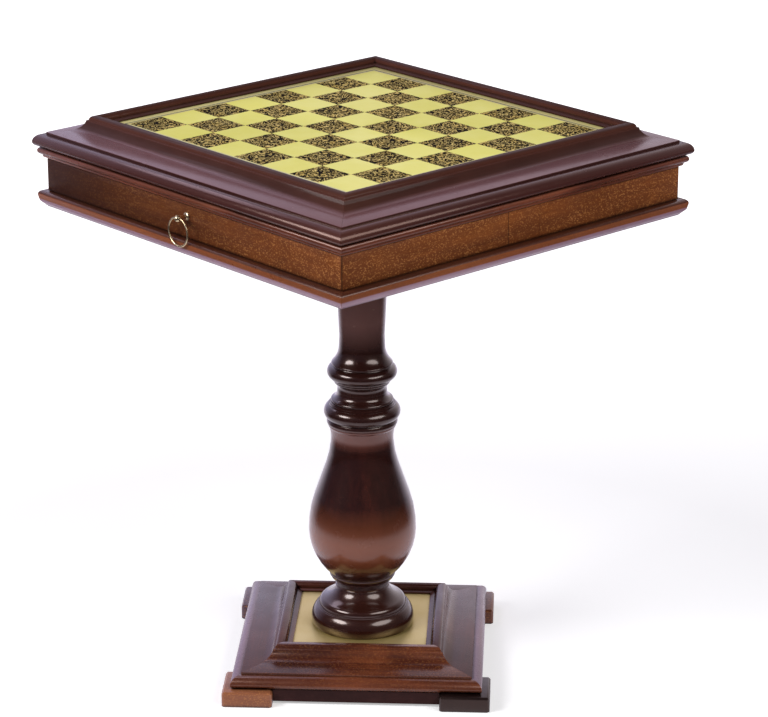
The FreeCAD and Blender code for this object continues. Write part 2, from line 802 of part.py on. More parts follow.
def pull_post():
    """Turned brass post: a stud in the wood, a conical rosette, a stem and a cross-bored ball."""
    ball_low = math.sqrt(BALL_R ** 2 - POST_R ** 2)
    half_arc = (math.pi - math.asin(POST_R / BALL_R)) / 2
    members = (
        ("stud", STUD_L, STUD_R, 0),
        ("rosette back", 0, ROSETTE_R, 0),
        ("rosette rim", ROSETTE_RIM, ROSETTE_R, 0),
        ("rosette", ROSETTE_T - ROSETTE_RIM, POST_R, -ROSETTE_HOLLOW),
        ("stem", BALL_OUT - ball_low - ROSETTE_T, POST_R, 0),
        ("ball", ball_low + BALL_R, 0, BALL_R * (1 - math.cos(half_arc))),
    )
    post = turned(0, STUD_R, members, PULL_SAG, -STUD_L)
    bore_r = RING_WIRE_R + RING_PIN_FIT
    depth = RING_PIN_L + RING_PIN_FIT
    for way in (-1, 1):
        mouth = vec(way * (BALL_R + 1), 0, BALL_OUT)
        post = post.cut(Part.makeCylinder(bore_r, depth + 1, mouth, vec(-way, 0, 0)))
    return on_drawer_front(post)


def on_drawer_front(shape):
    """What stands up from the origin, turned to stand out from the drawer front at the pull."""
    shape.rotate(vec(0, 0, 0), vec(1, 0, 0), QUARTER_TURN)
    shape.translate(vec(0, -apron_half, z_pull))
    return shape


def pull_ring():
    """The drop ring: a wire circle opened at the top, whose ends turn into the ball as pins."""
    end_x = BALL_R + RING_BALL_GAP + RING_WIRE_R
    drop = math.sqrt(RING_R ** 2 - end_x ** 2)
    opening = math.asin(end_x / RING_R)
    sweep = 2 * (math.pi - opening)
    count = math.ceil(sweep / (2 * math.acos(1 - PULL_SAG / RING_R)))
    pin_end = BALL_R - RING_PIN_L
    path = [(pin_end, 0)]
    for index in range(count + 1):
        angle = opening + sweep * index / count
        path.append((RING_R * math.sin(angle), RING_R * math.cos(angle) - drop))
    path.append((-pin_end, 0))
    ring = bent_wire(path, RING_WIRE_R)
    ring.translate(vec(0, -(apron_half + BALL_OUT), z_pull))
    return ring


def front_drawer():
    """All the pieces of the drawer at the front."""
    return {
        "drawer_face": [drawer_front()],
        "drawer_sides": in_both_sides(drawer_side()),
        "drawer_back": [drawer_back()],
        "drawer_bottom": [drawer_bottom(0.0)],
        "drawer_lining": [drawer_lining()],
        "pull_post": [pull_post()],
        "pull_ring": [pull_ring()],
    }


def both_drawers():
    """The front drawer's pieces, and copies of them for the rear."""
    nodes = {}
    for name, solids in front_drawer().items():
        nodes[f"{name}_front"] = solids
        nodes[f"{name}_rear"] = [opposite(solid) for solid in solids]
    return nodes


# ---------------------------------------------------------------- whole table


def wood_screws():
    under_feet = [wood_screw(x, y, SCREW_SINK, SCREW_L) for x, y in foot_screw_places()]
    under_case = [wood_screw(x, y, z_mount + SCREW_SINK, PLATE_SCREW_L) for x, y in plate_screw_places()]
    return [turned_about_z(s, BASE_TURN) for s in under_feet] + under_case


def table():
    """Every node's name with its solids."""
    top_reach = apron_half + NOSE_OUT
    nodes = {}
    nodes.update(feet())
    nodes["wood_screws"] = wood_screws()
    nodes["base_panel"] = [base_panel()]
    nodes.update(base_frame())
    nodes.update(base_inside())
    nodes.update(pedestal())
    nodes.update(rod_set())
    nodes["mount_plate"] = [mount_plate()]
    nodes["case_floor"] = [case_floor()]
    nodes.update(all_round("foot_mould", mitred_side(foot_mould_section(), top_reach, MITRE_JOINT)))
    aprons = dict(zip(SIDES, four_times(apron())))
    nodes["apron_right"] = [aprons["right"]]
    nodes["apron_left"] = [aprons["left"]]
    nodes["case_dividers"] = dividers()
    nodes.update(runners_and_guides())
    nodes.update(all_round("bead", mitred_side(bead_section(), top_reach, MITRE_JOINT)))
    nodes["sub_top"] = [sub_top()]
    frame = mitred_side(frame_section(top_sight, TOP_FRAME_W, z_top_frame), top_reach, MITRE_JOINT)
    nodes.update(all_round("top_rail", frame))
    nodes.update(board())
    nodes.update(both_drawers())
    return nodes


def main():
    os.makedirs("parts", exist_ok=True)
    for name, solids in table().items():
        found = [solid for shape in solids for solid in shape.Solids]
        whole = found[0] if len(found) == 1 else Part.makeCompound(found)
        whole.exportStep(f"parts/{name}.step")


main()
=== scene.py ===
"""Looks of a chess table with an inlaid board of metal plates.

Metres, +Z up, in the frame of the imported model. Wood, metal and felt are node materials on the
carried-over CAD pieces. Finer meshes stand in for the turned pieces and the drop rings.
"""
import math

import bmesh
import bpy
import numpy as np
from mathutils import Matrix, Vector


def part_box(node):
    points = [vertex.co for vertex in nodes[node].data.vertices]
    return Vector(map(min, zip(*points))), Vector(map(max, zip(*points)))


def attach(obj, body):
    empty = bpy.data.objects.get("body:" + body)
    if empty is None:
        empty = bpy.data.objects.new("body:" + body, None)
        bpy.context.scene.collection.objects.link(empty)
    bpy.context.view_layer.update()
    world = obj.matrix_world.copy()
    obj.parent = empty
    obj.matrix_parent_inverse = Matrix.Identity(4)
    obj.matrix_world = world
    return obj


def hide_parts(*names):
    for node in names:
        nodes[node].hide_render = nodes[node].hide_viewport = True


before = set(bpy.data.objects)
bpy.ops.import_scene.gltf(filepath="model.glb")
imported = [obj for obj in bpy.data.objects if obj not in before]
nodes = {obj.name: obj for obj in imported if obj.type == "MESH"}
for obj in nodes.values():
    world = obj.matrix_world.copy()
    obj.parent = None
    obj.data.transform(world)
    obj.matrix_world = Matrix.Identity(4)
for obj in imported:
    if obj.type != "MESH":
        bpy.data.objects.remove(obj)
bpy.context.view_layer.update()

SIDES = ("front", "right", "back", "left")
ORIGIN = Vector((0, 0, 0))
UPRIGHT = Vector((0, 0, 1))
X, Y, Z = range(3)


def rgb(red, green, blue):
    """A colour given as it shows on a screen, 0 to 255, by the curve of sRGB."""
    parts = [value / 255 for value in (red, green, blue)]
    linear = [c / 12.92 if c <= 0.04045 else ((c + 0.055) / 1.055) ** 2.4 for c in parts]
    return (*linear, 1.0)


# ---------------------------------------------------------------- camera and studio

# Camera of the photograph
CAMERA_AT = Vector((2.6835, -2.3911, 1.6554))
CAMERA_AZIMUTH = math.radians(137.862)
CAMERA_PITCH = math.radians(19.2175)
CAMERA_LENS = 143.37
CAMERA_REACH = 100
SENSOR = 36.0

# Room. It is dark towards the camera and cooler on the camera's left. Spreads are
# (from low, from high, to low, to high), here over the cosine between a ray and that way.
DARK_WAY = (0.742, -0.671, 0.0)
COOL_WAY = (-0.671, -0.742, 0.0)
ROOM_SHADE = (-0.85, -0.2, 1.0, 0.1)
ROOM_TINTS = ((0.95, 0.86, 0.92, 1.0), (0.81, 0.79, 1.12, 1.0))
TINT_SPREAD = (-0.35, 0.3)
ROOM_LIGHT = 0.5
WHITE = (1, 1, 1, 1)

# Oval lamps: azimuth, elevation, distance, size, power, colour. They all face one point.
LAMP_TARGET = Vector((0, 0, 0.45))
LAMPS = {
    "key": (-103, 31, 2.6, (1.5, 0.95), 47, (0.98, 0.98, 1.0)),
    "fill": (8, 32, 2.8, (2.4, 1.3), 41, (1.0, 1.0, 1.0)),
    "back": (186, 47, 2.8, (1.6, 1.0), 10, (0.93, 0.82, 1.0)),
}

# Floor of white paper. In a reflection it goes on behind the table and ends near it elsewhere.
FLOOR_HALF = 12
FLOOR_GAP = 0.0002
PAPER_REACH = (0.6, 0.9)
PAPER_BACK = (-0.8, -0.35)
PAPER_CLOUDS = (3, 2)
PAPER_TONES = (rgb(238, 238, 238), rgb(246, 246, 246))
PAST_PAPER = rgb(70, 66, 70)
FLOOR_GLOW = (0.7, 2.5, 0.45, 1.2)
GLOW_IN_GLOSS = 0.8
GLOW_TINT_IN_GLOSS = (0.9, 0.8, 1.0, 1)

OPENNESS_SAMPLES = 8


class Nodes:
    """The node tree of a material or world, with short ways to add nodes and link them."""

    def __init__(self, block, output):
        self.block = block
        block.use_nodes = True
        self.tree = block.node_tree
        self.tree.nodes.clear()
        self.output = self.add(output)

    def add(self, kind, inputs=None, **settings):
        node = self.tree.nodes.new("ShaderNode" + kind)
        for key, value in settings.items():
            setattr(node, key, value)
        for key, value in (inputs or {}).items():
            self.set(node.inputs[key], value)
        return node

    def set(self, socket, value):
        if isinstance(value, bpy.types.NodeSocket):
            self.tree.links.new(value, socket)
        elif isinstance(value, bpy.types.Node):
            self.tree.links.new(value.outputs[0], socket)
        else:
            socket.default_value = value

    def math(self, operation, *values):
        return self.add("Math", dict(enumerate(values)), operation=operation).outputs[0]

    def mix(self, factor, a, b):
        """A mix of two colours, which are the sockets 6 and 7 of the node."""
        return self.add("Mix", {0: factor, 6: a, 7: b}, data_type="RGBA").outputs[2]

    def dot(self, a, b):
        return self.add("VectorMath", {0: a, 1: b}, operation="DOT_PRODUCT").outputs["Value"]

    def part(self, vector, axis):
        return self.add("SeparateXYZ", {0: vector}).outputs[axis]

    def steps(self, value, low, high, to_low=0.0, to_high=1.0):
        """A value's stretch from low to high, spread over another stretch and held at its ends."""
        return self.add("MapRange", {0: value, 1: low, 2: high, 3: to_low, 4: to_high}).outputs[0]

    def noise(self, vector, scale, detail=4.0, roughness=0.55, distortion=0.0):
        inputs = {"Vector": vector, "Scale": scale, "Detail": detail}
        inputs.update({"Roughness": roughness, "Distortion": distortion})
        return self.add("TexNoise", inputs).outputs["Fac"]

    def shaped(self, vector, scale=(1, 1, 1), turn=0.0):
        inputs = {"Vector": vector, "Rotation": (0, 0, turn), "Scale": scale}
        return self.add("Mapping", inputs).outputs[0]

    def rest_place(self):
        """The place on the object itself, which the pose doesn't change."""
        return self.add("TexCoord").outputs["Object"]

    def openness(self, reach):
        """How free of near surfaces a place is, 0 to 1."""
        near = self.add("AmbientOcclusion", {"Distance": reach}, samples=OPENNESS_SAMPLES)
        return near.outputs["AO"]

    def bump(self, height, distance, strength):
        inputs = {"Height": height, "Distance": distance, "Strength": strength}
        return self.add("Bump", inputs).outputs[0]

    def seen_white(self, path):
        """Rays that get a white background: the camera's own, and those through glass."""
        return self.math("MAXIMUM", path["Is Camera Ray"], path["Is Transmission Ray"])

    def show(self, shader):
        self.set(self.output.inputs["Surface"], shader)
        return self.block

    def surface(self, **inputs):
        named = {key.replace("_", " "): value for key, value in inputs.items()}
        return self.show(self.add("BsdfPrincipled", named))


def material_nodes(name):
    return Nodes(bpy.data.materials.new(name), "OutputMaterial")


def add_object(name, data):
    made = bpy.data.objects.new(name, data)
    bpy.context.scene.collection.objects.link(made)
    return made


def direction(azimuth, elevation):
    level = math.cos(elevation)
    return Vector((level * math.cos(azimuth), level * math.sin(azimuth), math.sin(elevation)))


def place_facing(thing, place, way):
    thing.location = place
    thing.rotation_euler = way.to_track_quat("-Z", "Y").to_euler()


def camera():
    data = bpy.data.cameras.new("camera")
    data.lens = CAMERA_LENS
    data.sensor_width = SENSOR
    data.clip_end = CAMERA_REACH
    eye = add_object("camera", data)
    place_facing(eye, CAMERA_AT, direction(CAMERA_AZIMUTH, -CAMERA_PITCH))
    bpy.context.scene.camera = eye


def lamp(name, azimuth, elevation, distance, size, power, tint):
    data = bpy.data.lights.new(name, "AREA")
    data.shape = "ELLIPSE"
    data.size, data.size_y = size
    data.energy = power
    data.color = tint
    out = direction(math.radians(azimuth), math.radians(elevation))
    place_facing(add_object(name, data), LAMP_TARGET + out * distance, -out)


def studio():
    """A room that shows white, is dark behind the camera, and has three oval lamps."""
    n = Nodes(bpy.data.worlds.new("studio"), "OutputWorld")
    path = n.add("LightPath").outputs
    way = n.add("TexCoord").outputs["Generated"]
    shade = n.steps(n.dot(way, DARK_WAY), *ROOM_SHADE)
    tint = n.mix(n.steps(n.dot(way, COOL_WAY), *TINT_SPREAD), *ROOM_TINTS)
    light = n.steps(path["Is Glossy Ray"], 0.0, 1.0, ROOM_LIGHT, 1.0)
    room = n.add("Background", {"Color": tint, "Strength": n.math("MULTIPLY", shade, light)})
    white = n.add("Background", {"Color": WHITE, "Strength": 1.0})
    n.show(n.add("MixShader", {0: n.seen_white(path), 1: room, 2: white}))
    n.block.cycles.sampling_method = "NONE"
    bpy.context.scene.world = n.block
    for name, settings in LAMPS.items():
        lamp(name, *settings)


def floor():
    """White paper that keeps the table's shadow and glows to white away from it."""
    mesh = bpy.data.meshes.new("floor")
    build = bmesh.new()
    bmesh.ops.create_grid(build, x_segments=1, y_segments=1, size=FLOOR_HALF)
    build.to_mesh(mesh)
    build.free()
    ground = add_object("floor", mesh)
    ground.location.z = -FLOOR_GAP
    n = material_nodes("floor_white")
    here = n.add("NewGeometry").outputs["Position"]
    path = n.add("LightPath").outputs
    gloss = path["Is Glossy Ray"]
    far = n.add("VectorMath", {0: here}, operation="LENGTH").outputs["Value"]
    ahead = n.math("DIVIDE", n.dot(here, DARK_WAY), far)
    past = n.math("MULTIPLY", n.steps(far, *PAPER_REACH), n.steps(ahead, *PAPER_BACK))
    past = n.math("MULTIPLY", past, gloss)
    tint = n.mix(n.noise(here, *PAPER_CLOUDS), *PAPER_TONES)
    lit = n.add("BsdfDiffuse", {"Color": n.mix(past, tint, PAST_PAPER)})
    strength = n.math("MULTIPLY", n.steps(far, *FLOOR_GLOW), n.math("SUBTRACT", 1.0, past))
    strength = n.math("MULTIPLY", strength, n.steps(gloss, 0.0, 1.0, 1.0, GLOW_IN_GLOSS))
    glow_tint = n.mix(gloss, WHITE, GLOW_TINT_IN_GLOSS)
    glow = n.add("Emission", {"Color": glow_tint, "Strength": strength})
    both = n.add("AddShader", {0: lit, 1: glow})
    seen = n.math("MAXIMUM", n.seen_white(path), gloss)
    mesh.materials.append(n.show(n.add("MixShader", {0: seen, 1: lit, 2: both})))


# ---------------------------------------------------------------- wood

# A noise is (scale, detail, roughness, distortion). An edge or a spread is the stretch of a
# noise's values that it is taken over. Grain is drawn out by a small scale along it.
MID_NOISE = (0.3, 0.7)
FINE_GRAIN = 0.05
BROAD_GRAIN = 0.3
FIGURE = (12, 3, 0.6, 0.7)
FIGURE_SHARE = 0.6
STREAKS = (190, 5, 0.7, 0.4)
STREAK_SHARE = 0.4
TONE_SPREAD = (0.32, 0.68)
MOTTLE = (17, 2, 0.5)
MOTTLE_SPREAD = (0.4, 0.7, 0.0, 0.4)
PORES = (1300, 3, 0.7)
PORE_EDGE = (0.6, 0.7)
PORE_DEPTH = 0.4
PORE_COLOUR = rgb(24, 12, 9)
FLECKS = (720, 1, 0.5)
FLECK_SHAPE = (0.6, 0.6, 1)
FLECK_EDGE = (0.55, 0.66)
FLECK_CLOUDS = (24, 3)
FLECK_SPREAD = (0.3, 0.65, 0.35, 1.0)
FLECK_COLOUR = rgb(220, 150, 84)
SEAM_COLOUR = rgb(34, 14, 9)

# Wear on sharp edges, by the cosine between the rounded and the plain normal
WEAR_RADIUS = 0.0012
WEAR_SAMPLES = 4
WEAR_SPREAD = (0.995, 0.9)
WEAR_DEPTH = 0.4

# Painted shade in quirks and corners, by how closed in a place is; it also stands for glaze left
# there
CREVICE_SHADE_REACH = 0.005
CREVICE_SHADE_SPREAD = (0.8, 0.4, 0.0, 0.85)
CREVICE_SHADE_COLOUR = rgb(20, 9, 7)

# Lacquer. Shares are the least and the most of a material's roughness that a noise gives it.
SMEAR = (34, 3, 0.6)
SMEAR_SHARES = (0.8, 1.25)
COAT_SHARE = 0.6
LACQUER_IOR = 1.5
WARM_GLINT = (1.0, 0.62, 0.5, 1.0)
RELIEF = (0.0001, 0.4)
PORE_RELIEF = 0.6
LACQUER_WAVES = (30, 2, 0.5)
LACQUER_RELIEF = (0.0003, 0.3)

# Unfinished wood
RINGS = (60, 5, 0.6, 1.2)
RING_SHAPE = (0.08, 1, 1)
RING_SPREAD = (0.35, 0.7)
RING_RELIEF = (0.0003, 0.6)
PLAIN_TONES = (rgb(214, 178, 130), rgb(178, 132, 84))
PLAIN_CLOUDS = (8, 2, 0.5, 0.6)
PLAIN_CLOUD_SHAPE = (0.2, 1, 1)
PLAIN_CLOUD_SPREAD = (0.4, 0.7, 0.0, 0.4)
PLAIN_CLOUD_COLOUR = rgb(150, 104, 62)
PLAIN_ROUGHNESS = 0.72


def uneven(n, noise, gloss, least, most):
    """A roughness that follows a noise between two shares of the material's own."""
    return n.steps(noise, *MID_NOISE, gloss * least, gloss * most)


def stain(n, here, broad, streaks, dark, middle, light):
    """Three tones of stain over figure and streaks, with darker clouds."""
    figure = n.math("MULTIPLY", n.noise(broad, *FIGURE), FIGURE_SHARE)
    tone = n.math("ADD", figure, n.math("MULTIPLY", streaks, STREAK_SHARE))
    ramp = n.add("ValToRGB", {0: n.steps(tone, *TONE_SPREAD)})
    ramp.color_ramp.elements[0].color = dark
    ramp.color_ramp.elements[1].color = light
    ramp.color_ramp.elements.new(0.5).color = middle
    return n.mix(n.steps(n.noise(here, *MOTTLE), *MOTTLE_SPREAD), ramp.outputs[0], dark)


def with_flecks(n, here, broad, colour, amount):
    """Fine golden flecks of a veneer, thicker in some places than in others."""
    dashes = n.noise(n.shaped(here, FLECK_SHAPE), *FLECKS)
    spread = n.steps(n.noise(broad, *FLECK_CLOUDS), *FLECK_SPREAD)
    glint = n.math("MULTIPLY", n.steps(dashes, *FLECK_EDGE), n.math("MULTIPLY", spread, amount))
    return n.mix(glint, colour, FLECK_COLOUR)


def worn_edges(n):
    """Where the surface turns sharply outwards, from the difference of a rounded normal."""
    bevel = n.add("Bevel", {"Radius": WEAR_RADIUS}, samples=WEAR_SAMPLES)
    flat = n.add("NewGeometry").outputs["Normal"]
    return n.steps(n.dot(bevel, flat), *WEAR_SPREAD)


def wood(name, dark, middle, light, turn=0.0, upright=False, flecks=0.0, gloss=0.3, coat=0.3,
         warmth=0.5, seams=(), shaded=(), matt=None):
    """Stained wood under lacquer. The grain runs along x turned by an angle, or upright.

    A shade is (axis, start, full, colour, depth), and holds from where it is full; most shades are
    painted light, shade and reflection by place. A seam is (axis, place, half width, depth). A matt
    finish is a spread of roughness to add, by height.
    """
    n = material_nodes(name)
    here = n.rest_place()
    if upright:
        along = n.shaped(here, (1, 1, FINE_GRAIN))
        broad = n.shaped(here, (1, 1, BROAD_GRAIN))
    else:
        turned = n.shaped(here, turn=-turn)
        along = n.shaped(turned, (FINE_GRAIN, 1, 1))
        broad = n.shaped(turned, (BROAD_GRAIN, 1, 1))
    streaks = n.noise(along, *STREAKS)
    pore = n.steps(n.noise(along, *PORES), *PORE_EDGE)
    colour = stain(n, here, broad, streaks, dark, middle, light)
    colour = n.mix(n.math("MULTIPLY", pore, PORE_DEPTH), colour, PORE_COLOUR)
    if flecks:
        colour = with_flecks(n, here, broad, colour, flecks)
    # Bands of colour by place: mostly painted light, shade and reflection
    for axis, start, full, tint, depth in shaded:
        colour = n.mix(n.steps(n.part(here, axis), start, full, 0.0, depth), colour, tint)
    for axis, place, width, depth in seams:
        apart = n.math("ABSOLUTE", n.math("SUBTRACT", n.part(here, axis), place))
        colour = n.mix(n.steps(apart, width, 0.0, 0.0, depth), colour, SEAM_COLOUR)
    colour = n.mix(n.math("MULTIPLY", worn_edges(n), WEAR_DEPTH), colour, light)
    # Painted shade in quirks and corners, which also stands for glaze there
    colour = n.mix(n.steps(n.openness(CREVICE_SHADE_REACH), *CREVICE_SHADE_SPREAD), colour, CREVICE_SHADE_COLOUR)
    roughness = uneven(n, n.noise(here, *SMEAR), gloss, *SMEAR_SHARES)
    if matt:
        roughness = n.math("ADD", roughness, n.steps(n.part(here, Z), *matt))
    height = n.math("SUBTRACT", streaks, n.math("MULTIPLY", pore, PORE_RELIEF))
    return n.surface(
        Base_Color=colour, Roughness=roughness, Normal=n.bump(height, *RELIEF),
        Specular_IOR_Level=warmth, Specular_Tint=WARM_GLINT,
        Coat_Weight=coat, Coat_Roughness=gloss * COAT_SHARE, Coat_IOR=LACQUER_IOR,
        Coat_Normal=n.bump(n.noise(here, *LACQUER_WAVES), *LACQUER_RELIEF),
    )


def plain_wood(name):
    """Unfinished pale wood inside the case."""
    n = material_nodes(name)
    here = n.rest_place()
    rings = n.noise(n.shaped(here, RING_SHAPE), *RINGS)
    clouds = n.noise(n.shaped(here, PLAIN_CLOUD_SHAPE), *PLAIN_CLOUDS)
    colour = n.mix(n.steps(rings, *RING_SPREAD), *PLAIN_TONES)
    colour = n.mix(n.steps(clouds, *PLAIN_CLOUD_SPREAD), colour, PLAIN_CLOUD_COLOUR)
    return n.surface(
        Base_Color=colour, Roughness=PLAIN_ROUGHNESS, Normal=n.bump(rings, *RING_RELIEF),
    )


# ---------------------------------------------------------------- metal and felt

# Rolled plate
SCRATCH_SHAPE = (0.03, 1, 1)
SCRATCHES = (1500, 3, 0.7)
PLATE_CLOUDS = (16, 4, 0.6, 0.4)
CLOUD_SHARE = 0.8
EACH_SHARE = 0.35
PLATE_SPREAD = (0.3, 0.95)
SPOTS = (340, 2, 0.5)
SPOT_SPREAD = (0.7, 0.78, 0.0, 0.05)
SPOT_COLOUR = rgb(120, 96, 42)
# Painted shade and a brown reflection where a plate meets other pieces, by how closed in a place is
CONTACT_SHADE_REACH = 0.03
CONTACT_SHADE_SPREAD = (0.9, 0.45)
CONTACT_SHADE_COLOUR = rgb(178, 148, 44)
PLATE_SHARES = (0.75, 1.3)
PLATE_ANISOTROPY = 0.5
PLATE_RELIEF = (0.00002, 0.15)

# Rolled plates of the table: two tones, roughness, share of bare metal, painted shade and
# reflection near other pieces
SQUARES = (rgb(246, 243, 112), rgb(238, 234, 92), 0.4, 0.62)
BORDER = (rgb(234, 226, 150), rgb(222, 212, 128), 0.4, 0.6)
BASE_PLATE = (rgb(232, 212, 150), rgb(222, 198, 126), 0.4, 0.7, 0.5)

# Gilt curls. Rings round scattered points are bent by a noise and broken up by another.
BEND_SCALE = 150.0
BEND_WIDTH = 0.0105
CURL_SCALE = 146.0
CURL_TURNS = 15.0
BREAKS = (450, 2, 0.5)
BREAK_DEPTH = 0.9
GILT_CLOUDS = (60, 3, 0.5)
GILT_SPREAD = (0.35, 0.65)
GILT_TONES = (rgb(206, 186, 92), rgb(232, 218, 134))
GILT_GLINT = (1.0, 0.82, 0.55, 1.0)
LACQUER_BLACK = rgb(14, 11, 6)
GROUND_ROUGHNESS = 0.75
GILT_ROUGHNESS = 0.32
GROUND_SHINE = 0.05
CURL_RELIEF = (0.00006, 0.5)

# Cast and polished brass
PULL_TONES = (rgb(238, 222, 186), rgb(206, 182, 136))
PULL_GLOSS = 0.3
CAST_CLOUDS = (220, 3, 0.6)
CAST_SPREAD = (0.35, 0.75)
CAST_SMEAR = (500, 3, 0.6)
CAST_SHARES = (0.7, 1.3)
CAST_RELIEF = (0.00004, 0.4)

# Zinc-plated steel
SPANGLE_SCALE = 420.0
ZINC_TONES = (rgb(150, 152, 156), rgb(198, 200, 204))
ZINC_ROUGHNESS = (0.3, 0.45)

# Black inlay
DUST = (300, 3, 0.6)
DUST_SPREAD = (0.4, 0.8)
DUST_RELIEF = (0.00003, 0.4)
INLAY_TONES = (rgb(18, 16, 15), rgb(44, 38, 34))
INLAY_ROUGHNESS = (0.3, 0.8, 0.3, 0.5)

# Felt
FIBRES = (900, 5, 0.75, 1.5)
FELT_TONES = (rgb(18, 58, 30), rgb(40, 96, 50))
NAPS = (60, 3, 0.5)
NAP_SPREAD = (0.4, 0.7, 0.0, 0.35)
NAP_COLOUR = rgb(30, 74, 44)
FELT_ROUGHNESS = 0.95
FELT_SHINE = 0.2
FELT_RELIEF = (0.0004, 0.8)
SHEEN = 0.15
SHEEN_ROUGHNESS = 0.4


def plate_metal(name, colour, second, gloss, metallic, contact_shade=0.0):
    """Rolled brass with scratches along x, faint clouds and a slight tint from plate to plate."""
    n = material_nodes(name)
    here = n.rest_place()
    lines = n.noise(n.shaped(here, SCRATCH_SHAPE), *SCRATCHES)
    cloud = n.noise(here, *PLATE_CLOUDS)
    each = n.add("NewGeometry").outputs["Random Per Island"]
    tone = n.math("ADD", n.math("MULTIPLY", cloud, CLOUD_SHARE),
                  n.math("MULTIPLY", each, EACH_SHARE))
    base = n.mix(n.steps(tone, *PLATE_SPREAD), colour, second)
    base = n.mix(n.steps(n.noise(here, *SPOTS), *SPOT_SPREAD), base, SPOT_COLOUR)
    # Painted shade and reflection near other pieces
    if contact_shade:
        near = n.steps(n.openness(CONTACT_SHADE_REACH), *CONTACT_SHADE_SPREAD, 0.0, contact_shade)
        base = n.mix(near, base, CONTACT_SHADE_COLOUR)
    rough = n.math("ADD", n.math("MULTIPLY", lines, 0.5), n.math("MULTIPLY", cloud, 0.5))
    return n.surface(
        Base_Color=base, Metallic=metallic, Roughness=uneven(n, rough, gloss, *PLATE_SHARES),
        Anisotropic=PLATE_ANISOTROPY, Normal=n.bump(lines, *PLATE_RELIEF),
    )


def curl_metal(name):
    """Black lacquered plate covered in short broken gilt curls."""
    n = material_nodes(name)
    here = n.rest_place()
    warp = n.add("TexNoise", {"Vector": here, "Scale": BEND_SCALE, "Detail": 1.0}).outputs["Color"]
    offset = n.add("VectorMath", {0: warp, 1: (0.5, 0.5, 0.5)}, operation="SUBTRACT")
    bend = {0: offset, 1: (BEND_WIDTH, BEND_WIDTH, 0.0), 2: here}
    bent = n.add("VectorMath", bend, operation="MULTIPLY_ADD").outputs[0]
    cells = n.add("TexVoronoi", {"Vector": bent, "Scale": CURL_SCALE}, feature="F1")
    curls = n.math("SINE", n.math("MULTIPLY", cells.outputs["Distance"], CURL_TURNS))
    breaks = n.steps(n.noise(here, *BREAKS), *MID_NOISE, -BREAK_DEPTH, BREAK_DEPTH)
    strokes = n.steps(n.math("ADD", curls, breaks), *MID_NOISE)
    gilt = n.mix(n.steps(n.noise(here, *GILT_CLOUDS), *GILT_SPREAD), *GILT_TONES)
    return n.surface(
        Base_Color=n.mix(strokes, LACQUER_BLACK, gilt), Metallic=strokes,
        Roughness=n.steps(strokes, 0.0, 1.0, GROUND_ROUGHNESS, GILT_ROUGHNESS),
        Specular_IOR_Level=GROUND_SHINE, Specular_Tint=GILT_GLINT,
        Normal=n.bump(strokes, *CURL_RELIEF),
    )


def polished_brass(name):
    """Cast and polished brass of the pulls."""
    n = material_nodes(name)
    here = n.rest_place()
    cloud = n.noise(here, *CAST_CLOUDS)
    return n.surface(
        Base_Color=n.mix(n.steps(cloud, *CAST_SPREAD), *PULL_TONES), Metallic=1.0,
        Roughness=uneven(n, n.noise(here, *CAST_SMEAR), PULL_GLOSS, *CAST_SHARES),
        Normal=n.bump(cloud, *CAST_RELIEF),
    )


def steel(name):
    """Zinc-plated steel with its fine spangle."""
    n = material_nodes(name)
    spangle = n.add("TexVoronoi", {"Vector": n.rest_place(), "Scale": SPANGLE_SCALE})
    grey = n.add("RGBToBW", {0: spangle.outputs["Color"]}).outputs[0]
    return n.surface(
        Base_Color=n.mix(grey, *ZINC_TONES), Metallic=1.0,
        Roughness=n.steps(grey, 0.0, 1.0, *ZINC_ROUGHNESS),
    )


def black_inlay(name):
    """The black line round the squares, slightly dusty."""
    n = material_nodes(name)
    dust = n.noise(n.rest_place(), *DUST)
    base = n.mix(n.steps(dust, *DUST_SPREAD), *INLAY_TONES)
    return n.surface(
        Base_Color=base, Roughness=n.steps(dust, *INLAY_ROUGHNESS),
        Normal=n.bump(dust, *DUST_RELIEF),
    )


def felt(name):
    """Green felt in the drawers."""
    n = material_nodes(name)
    here = n.rest_place()
    fibres = n.noise(here, *FIBRES)
    base = n.mix(n.steps(fibres, *MID_NOISE), *FELT_TONES)
    base = n.mix(n.steps(n.noise(here, *NAPS), *NAP_SPREAD), base, NAP_COLOUR)
    return n.surface(
        Base_Color=base, Roughness=FELT_ROUGHNESS, Normal=n.bump(fibres, *FELT_RELIEF),
        Specular_IOR_Level=FELT_SHINE, Sheen_Weight=SHEEN, Sheen_Roughness=SHEEN_ROUGHNESS,
    )


# ---------------------------------------------------------------- edges

# Widths of the edge rounds by the start of a node's name. The first that fits is taken.
EDGE_ROUNDS = {
    "top_rail": 0.0006, "base_rail": 0.0006, "bead": 0.0004, "foot_mould": 0.0005,
    "foot_": 0.0008, "drawer_face": 0.0005, "apron": 0.0005,
}
TURNED_ROUND = 0.0003

# Segments of a round, and the least angle of an edge that gets one
CAD_EDGES = (2, math.radians(38))
TURNED_EDGES = (3, math.radians(26))
CAD_SMOOTH_UNDER = math.radians(34)
TURNED_SMOOTH_UNDER = math.radians(20)
WELD = 1e-5


